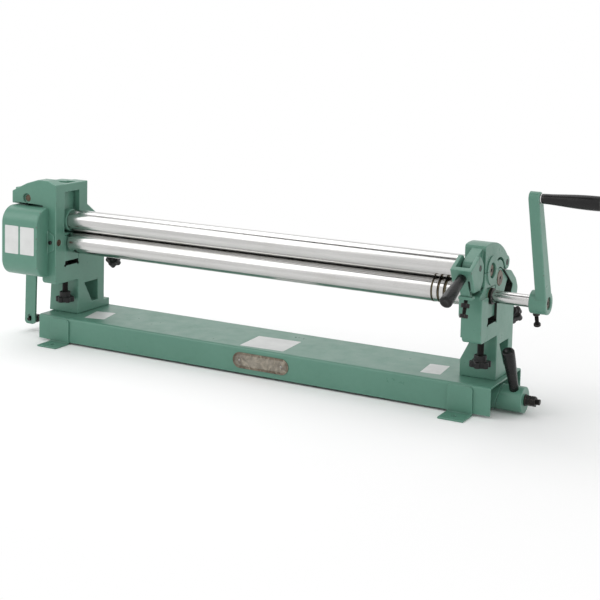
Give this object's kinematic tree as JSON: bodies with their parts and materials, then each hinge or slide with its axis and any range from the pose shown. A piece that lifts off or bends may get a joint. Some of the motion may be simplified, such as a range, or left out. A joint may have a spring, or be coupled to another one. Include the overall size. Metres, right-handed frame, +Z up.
{
  "type": "slip roll machine",
  "caption": "Bench slip roll: hand-cranked geared rolls and an adjustable rear bending roll, with a cap, yoke and lift handle that free the top roll's end.",
  "frame": {"origin": "on the bench, at the centre of the four foot bolts", "axes": "+X along the rolls towards the crank, +Y towards the back (the rear bending roll), +Z up out of the bench"},
  "size_m": [1.4488, 0.4123, 0.4714],
  "materials": {
    "green_paint": "satin enamel",
    "ground_steel": "ground and polished",
    "gear_steel": "machined",
    "bronze": "machined",
    "black_oxide": "black oxide",
    "black_plastic": "semi-gloss",
    "black_knob": "matte",
    "zinc_steel": "zinc plated",
    "plate_metal": "weathered satin"
  },
  "bodies": {
    "stand": {"base_channel": "green_paint", "foot_front_left": "green_paint", "foot_front_right": "green_paint", "foot_back_left": "green_paint", "foot_back_right": "green_paint", "left_end_frame": "green_paint", "right_end_frame": "green_paint", "frame_bolts": "zinc_steel", "gear_guard": "green_paint", "guard_screw": "black_oxide", "name_plate": "plate_metal", "plate_rivets": "zinc_steel", "cap_hinge_pin": "black_oxide", "trunnion_pin": "black_oxide", "rod_guide_left": "black_oxide", "rod_guide_right": "black_oxide", "cam_ring": "green_paint"},
    "lower_carriage": {"lower_block_left": "green_paint", "lower_block_right": "green_paint", "lower_bush_left": "bronze", "lower_bush_right": "bronze"},
    "lower_roll_set": {"lower_roll": "ground_steel", "lower_gear": "gear_steel", "lower_gear_bolt": "black_oxide", "shaft_collar": "black_oxide", "crank_arm": "green_paint", "crank_set_screw": "black_oxide", "crank_jam_nut": "black_oxide", "grip_spindle": "ground_steel"},
    "grip": {"crank_grip": "black_plastic"},
    "lower_screw_l": {"lower_screw_left": "black_oxide", "lower_knob_left": "black_knob"},
    "lower_screw_r": {"lower_screw_right": "black_oxide", "lower_knob_right": "black_knob"},
    "rear_carriage": {"rear_block_left": "green_paint", "rear_block_right": "green_paint"},
    "rear_roll_set": {"rear_roll": "ground_steel"},
    "rear_screw_l": {"rear_screw_left": "black_oxide", "rear_knob_left": "black_knob"},
    "rear_screw_r": {"rear_screw_right": "black_oxide", "rear_knob_right": "black_knob"},
    "trunnion": {"trunnion_block": "green_paint", "top_bush": "bronze", "lever_bar": "green_paint", "lever_bolts": "black_oxide"},
    "top_roll_set": {"top_roll": "ground_steel", "top_gear": "gear_steel", "top_gear_bolt": "black_oxide"},
    "cap": {"top_roll_cap": "green_paint", "yoke_pin": "black_oxide"},
    "yoke": {"release_yoke": "green_paint", "yoke_handle": "black_plastic", "clamp_screw": "black_oxide", "clamp_jam_nut": "black_oxide"},
    "pull_rod_set": {"pull_rod": "black_oxide", "rod_pin": "black_oxide", "cotter_pin": "black_oxide", "rod_nuts": "black_oxide"},
    "lift_drum_set": {"lift_drum": "green_paint", "lift_handle": "black_plastic"}
  },
  "joints": [
    {"name": "lower_adjust", "type": "slide", "parent": "stand", "child": "lower_carriage", "axis": [0, 0, 1], "range_m": [-0.003, 0.0004]},
    {"name": "crank_turn", "type": "hinge", "parent": "lower_carriage", "child": "lower_roll_set", "pos_m": [0, -0.0665, 0.2425], "axis": [1, 0, 0], "continuous": true},
    {"name": "grip_spin", "type": "hinge", "parent": "lower_roll_set", "child": "grip", "pos_m": [0.73, -0.14261, 0.45742], "axis": [1, 0, 0], "continuous": true},
    {"name": "lower_screw_left_turn", "type": "hinge", "parent": "lower_carriage", "child": "lower_screw_l", "pos_m": [-0.511, -0.0665, 0.15], "axis": [0, 0, 1], "range_deg": [-541, 73]},
    {"name": "lower_screw_right_turn", "type": "hinge", "parent": "lower_carriage", "child": "lower_screw_r", "pos_m": [0.536, -0.0665, 0.15], "axis": [0, 0, 1], "range_deg": [-541, 73]},
    {"name": "rear_adjust", "type": "slide", "parent": "stand", "child": "rear_carriage", "axis": [0, -0.809, 0.5878], "range_m": [-0.02, 0.003]},
    {"name": "rear_roll_spin", "type": "hinge", "parent": "rear_carriage", "child": "rear_roll_set", "pos_m": [0, -0.0165, 0.2705], "axis": [1, 0, 0], "continuous": true},
    {"name": "rear_screw_left_turn", "type": "hinge", "parent": "rear_carriage", "child": "rear_screw_l", "pos_m": [-0.511, 0.04822, 0.22348], "axis": [0, -0.809, 0.5878], "range_deg": [-3601, 541]},
    {"name": "rear_screw_right_turn", "type": "hinge", "parent": "rear_carriage", "child": "rear_screw_r", "pos_m": [0.536, 0.04822, 0.22348], "axis": [0, -0.809, 0.5878], "range_deg": [-3601, 541]},
    {"name": "top_roll_tilt", "type": "hinge", "parent": "stand", "child": "trunnion", "pos_m": [-0.578, -0.0665, 0.345], "axis": [0, -1, 0], "range_deg": [0, 1.28]},
    {"name": "top_roll_spin", "type": "hinge", "parent": "trunnion", "child": "top_roll_set", "pos_m": [0, -0.0665, 0.2942], "axis": [1, 0, 0], "continuous": true},
    {"name": "cap_hinge", "type": "hinge", "parent": "stand", "child": "cap", "pos_m": [0.536, 0.0235, 0.2965], "axis": [-1, 0, 0], "range_deg": [0, 45]},
    {"name": "yoke_hinge", "type": "hinge", "parent": "cap", "child": "yoke", "pos_m": [0.536, -0.1415, 0.3105], "axis": [-1, 0, 0], "range_deg": [0, 90]},
    {"name": "rod_pull", "type": "slide", "parent": "stand", "child": "pull_rod_set", "axis": [1, 0, 0], "range_m": [0, 0.0072]},
    {"name": "lift_handle_turn", "type": "hinge", "parent": "pull_rod_set", "child": "lift_drum_set", "pos_m": [0.58, -0.0205, 0.0295], "axis": [-1, 0, 0], "range_deg": [0, 63]}
  ],
  "couplings": [
    {"joint": "lower_screw_left_turn", "follows": "lower_adjust", "rad_per_m": 3141.6},
    {"joint": "lower_screw_right_turn", "follows": "lower_adjust", "rad_per_m": 3141.6},
    {"joint": "rear_screw_left_turn", "follows": "rear_adjust", "rad_per_m": 3141.6},
    {"joint": "rear_screw_right_turn", "follows": "rear_adjust", "rad_per_m": 3141.6},
    {"joint": "top_roll_spin", "follows": "crank_turn", "ratio": -1},
    {"joint": "cap_hinge", "follows": "top_roll_tilt", "ratio": 35},
    {"joint": "yoke_hinge", "follows": "top_roll_tilt", "ratio": 70},
    {"joint": "rod_pull", "follows": "top_roll_tilt", "m_per_rad": 0.3155},
    {"joint": "lift_handle_turn", "follows": "top_roll_tilt", "ratio": 49}
  ]
}
